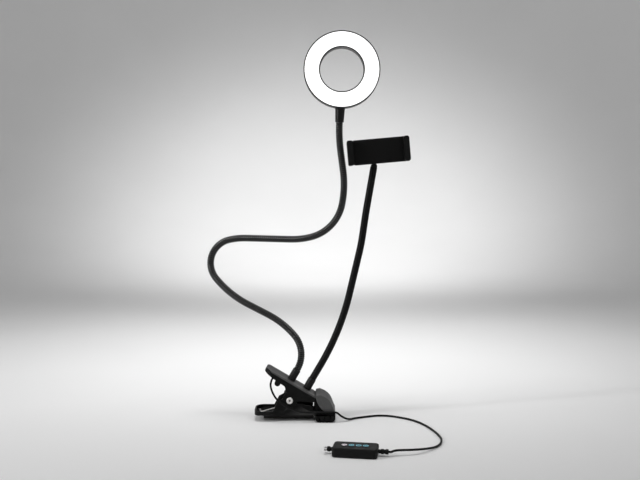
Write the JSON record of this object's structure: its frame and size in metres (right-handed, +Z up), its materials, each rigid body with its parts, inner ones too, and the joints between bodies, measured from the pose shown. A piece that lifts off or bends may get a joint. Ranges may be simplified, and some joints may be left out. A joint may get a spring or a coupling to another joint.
{
  "type": "ring_light",
  "caption": "Clip-on ring lamp on a gooseneck with a phone holder on another, a spring clamp and a corded controller",
  "frame": {"origin": "Centre of the flat underside of the clamp's rubber boot", "axes": "+X to the right across the front, +Y away from the viewer, +Z up along the arms"},
  "size_m": [0.2679, 0.181, 0.4596],
  "materials": {
    "clamp_steel": "satin black powder coat",
    "clamp_paint": "satin black powder coat",
    "hood_plastic": "fine moulded grain",
    "grip_rubber": "ribbed, matt",
    "bright_steel": "zinc plated",
    "black_plastic": "satin moulded",
    "sleeve_metal": "satin black",
    "light_hose_metal": "black ridged hose",
    "phone_hose_metal": "satin black ridged hose",
    "lead_sheath": "insulated lead",
    "ring_plastic": "satin dark grey",
    "diffuser_plastic": "opal white, lit",
    "board_white": "white solder mask",
    "led_resin": "phosphor resin",
    "nylon": "natural nylon",
    "holder_rubber": "smooth, matt",
    "cord_sheath": "satin cord sheath",
    "green_board": "green solder mask",
    "switch_metal": "tinned",
    "key_plastic": "dark, lit symbol",
    "plug_metal": "nickel plated",
    "plug_plastic": "black"
  },
  "bodies": {
    "lower_jaw": {"lower_lever": "clamp_steel", "lower_boot": "grip_rubber", "torsion_spring": "bright_steel", "cord_drop": "cord_sheath", "cord_run": "cord_sheath", "controller_base": "black_plastic", "controller_lid": "black_plastic", "controller_board": "green_board", "controller_switches": "switch_metal", "cord_relief": "cord_sheath", "plug_relief": "cord_sheath", "plug_shell": "plug_metal", "plug_tongue": "plug_plastic"},
    "upper_jaw": {"upper_lever": "clamp_paint", "upper_hood": "hood_plastic", "upper_pad": "grip_rubber", "pivot_tube": "bright_steel", "cord_clip": "black_plastic", "arm_nuts": "bright_steel", "arm_washers": "bright_steel", "light_foot": "sleeve_metal", "phone_foot": "sleeve_metal", "light_bend_1": "light_hose_metal", "phone_bend_1": "phone_hose_metal", "light_lead_1": "lead_sheath"},
    "light_low": {"light_hose_1": "light_hose_metal", "light_bend_2": "light_hose_metal", "light_lead_2": "lead_sheath"},
    "light_middle": {"light_hose_2": "light_hose_metal", "light_bend_3": "light_hose_metal", "light_lead_3": "lead_sheath"},
    "light_upper": {"light_hose_3": "light_hose_metal", "light_bend_4": "light_hose_metal", "light_lead_4": "lead_sheath"},
    "light_tip": {"light_hose_4": "light_hose_metal", "light_ferrule": "bright_steel"},
    "ring_head": {"ring_stem": "sleeve_metal", "ring_stem_nut": "bright_steel", "ring_housing": "ring_plastic", "ring_diffuser": "diffuser_plastic", "led_board": "board_white", "leds": "led_resin", "board_screws": "bright_steel"},
    "phone_low": {"phone_hose_1": "phone_hose_metal", "phone_bend_2": "phone_hose_metal"},
    "phone_upper": {"phone_hose_2": "phone_hose_metal"},
    "holder_ball": {"holder_ball_stud": "bright_steel"},
    "holder_seat": {"holder_ball_pads": "nylon"},
    "holder": {"holder_ball_nut": "black_plastic", "holder_cover": "black_plastic", "holder_body": "black_plastic", "holder_pad": "holder_rubber", "holder_springs": "bright_steel", "holder_screws": "bright_steel"},
    "holder_jaw": {"holder_slide": "black_plastic", "holder_slide_pad": "holder_rubber"},
    "key_power": {"button_power": "key_plastic"},
    "key_mode": {"button_mode": "key_plastic"},
    "key_minus": {"button_minus": "key_plastic"},
    "key_plus": {"button_plus": "key_plastic"}
  },
  "joints": [
    {"name": "clamp_jaw", "type": "hinge", "parent": "lower_jaw", "child": "upper_jaw", "pos_m": [-0.042, 0, 0.025], "axis": [0, -1, 0], "range_deg": [0, 48], "stiffness_Nm_per_rad": 0.6, "springref_deg": -60.16, "deforming": ["torsion_spring", "cord_drop"]},
    {"name": "light_low_bend", "type": "hinge", "parent": "upper_jaw", "child": "light_low", "pos_m": [-0.02984, 0, 0.06753], "axis": [0, -1, 0], "range_deg": [0, 40], "deforming": ["light_bend_1", "light_lead_1"]},
    {"name": "light_middle_bend", "type": "hinge", "parent": "light_low", "child": "light_middle", "pos_m": [-0.13265, 0, 0.20074], "axis": [1, 0, 0], "range_deg": [-30, 30], "deforming": ["light_bend_2", "light_lead_2"]},
    {"name": "light_upper_bend", "type": "hinge", "parent": "light_middle", "child": "light_upper", "pos_m": [0.00689, 0, 0.23143], "axis": [0, -1, 0], "range_deg": [0, 50], "deforming": ["light_bend_3", "light_lead_3"]},
    {"name": "light_tip_bend", "type": "hinge", "parent": "light_upper", "child": "light_tip", "pos_m": [0.01953, 0, 0.30936], "axis": [1, 0, 0], "range_deg": [-35, 35], "deforming": ["light_bend_4", "light_lead_4"]},
    {"name": "ring_swivel", "type": "hinge", "parent": "light_tip", "child": "ring_head", "pos_m": [0.01683, 0, 0.35311], "axis": [0.0436, 0, 0.999], "range_deg": [-170, 170]},
    {"name": "phone_low_bend", "type": "hinge", "parent": "upper_jaw", "child": "phone_low", "pos_m": [-0.00983, 0, 0.05677], "axis": [0, 1, 0], "range_deg": [0, 40], "deforming": ["phone_bend_1"]},
    {"name": "phone_upper_bend", "type": "hinge", "parent": "phone_low", "child": "phone_upper", "pos_m": [0.04268, 0, 0.20932], "axis": [1, 0, 0], "range_deg": [-30, 30], "deforming": ["phone_bend_2"]},
    {"name": "holder_swivel", "type": "hinge", "parent": "phone_upper", "child": "holder_ball", "pos_m": [0.05762, 0, 0.30051], "axis": [0.1702, 0, 0.9854], "range_deg": [0, 110]},
    {"name": "holder_tilt", "type": "hinge", "parent": "holder_ball", "child": "holder_seat", "pos_m": [0.06034, 0, 0.31628], "axis": [1, 0, 0], "range_deg": [-12, 12]},
    {"name": "holder_turn", "type": "hinge", "parent": "holder_seat", "child": "holder", "pos_m": [0.06034, 0, 0.31628], "axis": [0, -1, 0], "range_deg": [-12, 12]},
    {"name": "holder_open", "type": "slide", "parent": "holder", "child": "holder_jaw", "axis": [-0.9962, 0, -0.0872], "range_m": [0, 0.025], "stiffness_N_per_m": 60, "springref_m": -0.02, "deforming": ["holder_springs"]},
    {"name": "press_power", "type": "slide", "parent": "lower_jaw", "child": "key_power", "axis": [0, 0, 1], "range_m": [-0.0008, 0], "stiffness_N_per_m": 20, "springref_m": 0.0006},
    {"name": "press_mode", "type": "slide", "parent": "lower_jaw", "child": "key_mode", "axis": [0, 0, 1], "range_m": [-0.0008, 0], "stiffness_N_per_m": 20, "springref_m": 0.0006},
    {"name": "press_minus", "type": "slide", "parent": "lower_jaw", "child": "key_minus", "axis": [0, 0, 1], "range_m": [-0.0008, 0], "stiffness_N_per_m": 20, "springref_m": 0.0006},
    {"name": "press_plus", "type": "slide", "parent": "lower_jaw", "child": "key_plus", "axis": [0, 0, 1], "range_m": [-0.0008, 0], "stiffness_N_per_m": 20, "springref_m": 0.0006}
  ]
}
